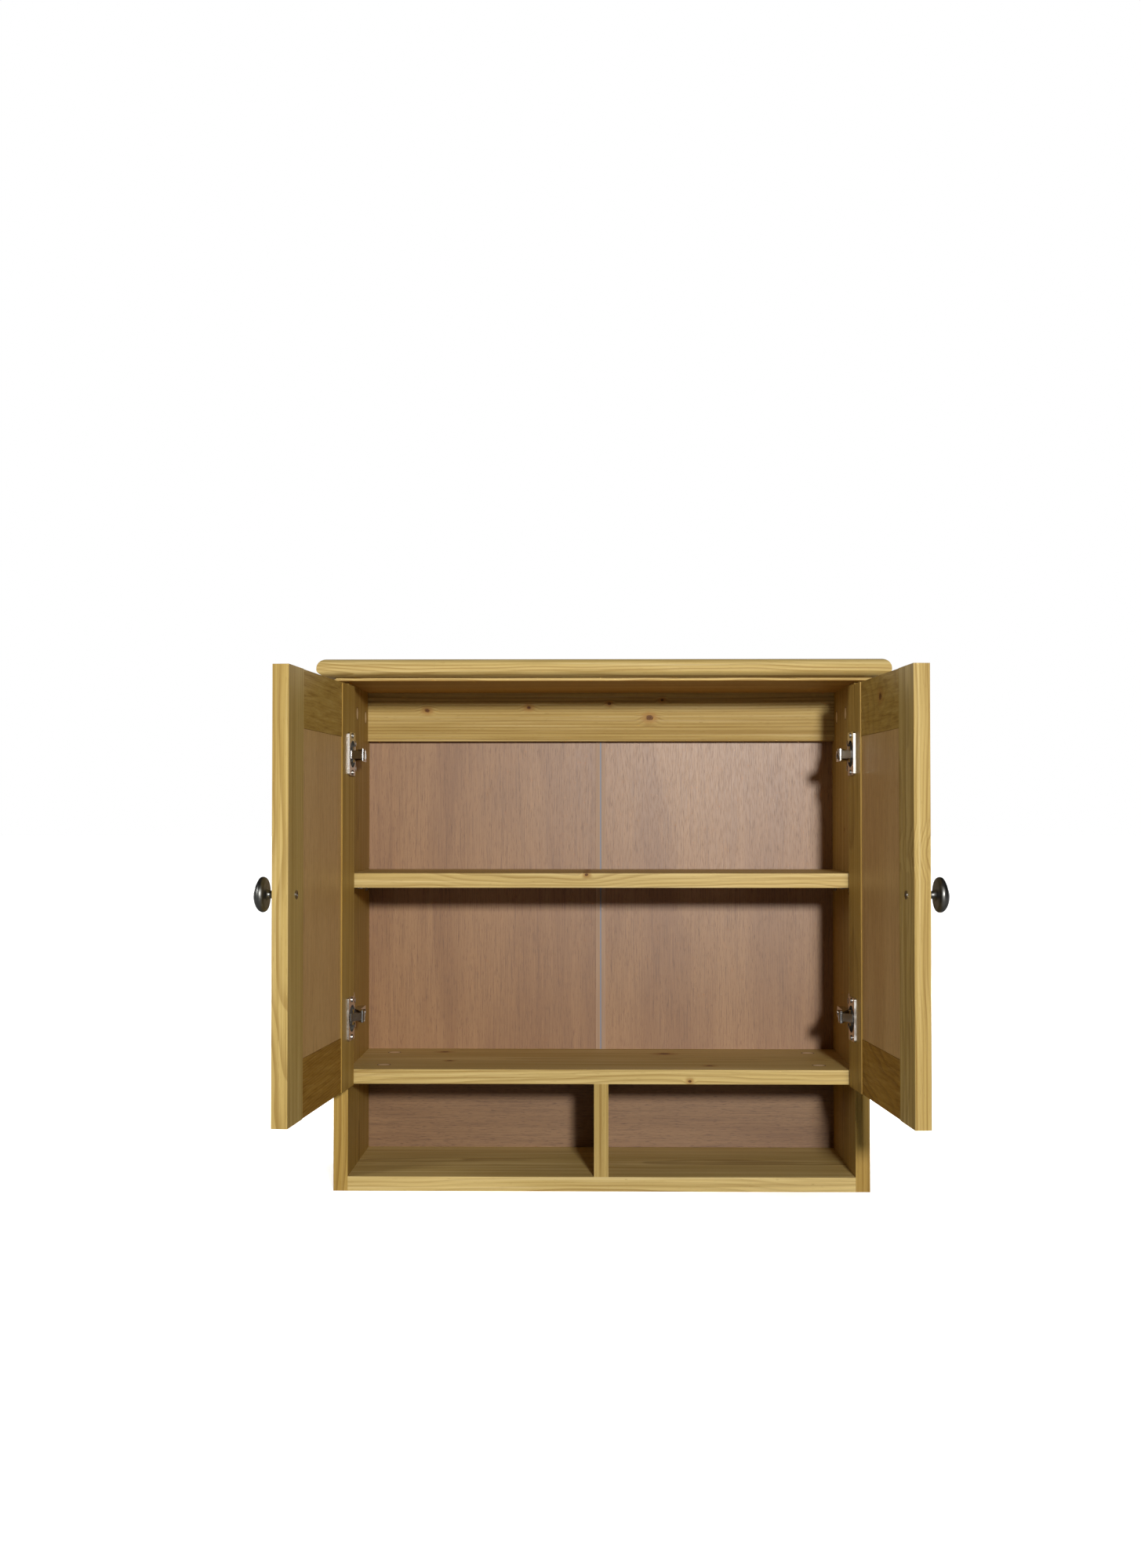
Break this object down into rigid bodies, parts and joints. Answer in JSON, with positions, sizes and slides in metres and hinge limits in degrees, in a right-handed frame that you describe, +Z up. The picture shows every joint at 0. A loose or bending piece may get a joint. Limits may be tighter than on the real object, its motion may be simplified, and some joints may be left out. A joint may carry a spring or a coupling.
{
  "type": "two-door wall cabinet",
  "caption": "Solid pine wall cabinet with two framed doors on cup hinges, an adjustable shelf and open pigeonholes below.",
  "frame": {"origin": "on the wall plane at the back, on the centre line, level with the underside", "axes": "+X to the viewer's right, +Y into the wall, +Z up; the doors are on the -Y side and rest open"},
  "size_m": [0.7578, 0.5418, 0.665],
  "materials": {
    "pine": "satin",
    "plug_pine": "satin",
    "plywood": "satin",
    "joint_strip": "satin",
    "hinge_nickel": "satin",
    "steel": "satin",
    "pewter": "satin"
  },
  "bodies": {
    "root": {"left_side": "pine", "right_side": "pine", "bottom_board": "pine", "lower_shelf": "pine", "pigeonhole_divider": "pine", "cornice_top": "pine", "hanging_rail": "pine", "back_panel_left": "plywood", "back_panel_right": "plywood", "back_joint_strip": "joint_strip", "pigeonhole_back": "plywood", "shelf_pegs": "steel", "shelf_plugs": "plug_pine", "side_plugs": "plug_pine", "carcass_dowels": "plug_pine", "back_pins": "steel", "left_upper_plate": "hinge_nickel", "left_lower_plate": "hinge_nickel", "right_upper_plate": "hinge_nickel", "right_lower_plate": "hinge_nickel", "left_upper_arm": "hinge_nickel", "left_lower_arm": "hinge_nickel", "right_upper_arm": "hinge_nickel", "right_lower_arm": "hinge_nickel", "arm_pins": "steel", "arm_screws": "steel", "plate_screws": "steel"},
    "middle_shelf": {"middle_shelf": "pine"},
    "left_links": {"left_upper_link": "hinge_nickel", "left_lower_link": "hinge_nickel"},
    "right_links": {"right_upper_link": "hinge_nickel", "right_lower_link": "hinge_nickel"},
    "left_door": {"left_upper_cup": "hinge_nickel", "left_lower_cup": "hinge_nickel", "left_cup_screws": "steel", "left_hinge_stile": "pine", "left_free_stile": "pine", "left_top_rail": "pine", "left_bottom_rail": "pine", "left_door_panel": "plywood", "left_knob": "pewter", "left_knob_screw": "steel"},
    "right_door": {"right_upper_cup": "hinge_nickel", "right_lower_cup": "hinge_nickel", "right_cup_screws": "steel", "right_hinge_stile": "pine", "right_free_stile": "pine", "right_top_rail": "pine", "right_bottom_rail": "pine", "right_door_panel": "plywood", "right_knob": "pewter", "right_knob_screw": "steel"}
  },
  "joints": [
    {"name": "left_door_hinge", "type": "hinge", "parent": "root", "child": "left_door", "pos_m": [-0.3195, -0.224, 0.383], "axis": [0, 0, 1], "range_deg": [0, 94.8]},
    {"name": "right_door_hinge", "type": "hinge", "parent": "root", "child": "right_door", "pos_m": [0.3195, -0.224, 0.383], "axis": [0, 0, -1], "range_deg": [0, 94.2]},
    {"name": "left_link_pivot", "type": "hinge", "parent": "root", "child": "left_links", "pos_m": [-0.2995, -0.2196, 0.383], "axis": [0, 0, -1], "range_deg": [0, 36.1]},
    {"name": "right_link_pivot", "type": "hinge", "parent": "root", "child": "right_links", "pos_m": [0.2995, -0.2196, 0.383], "axis": [0, 0, 1], "range_deg": [0, 35.9]},
    {"name": "middle_shelf_lift", "type": "slide", "parent": "root", "child": "middle_shelf", "axis": [0, 0, 1], "range_m": [0, 0.1]}
  ],
  "couplings": [
    {"joint": "left_link_pivot", "follows": "left_door_hinge", "ratio": 0.38},
    {"joint": "right_link_pivot", "follows": "right_door_hinge", "ratio": 0.38}
  ]
}
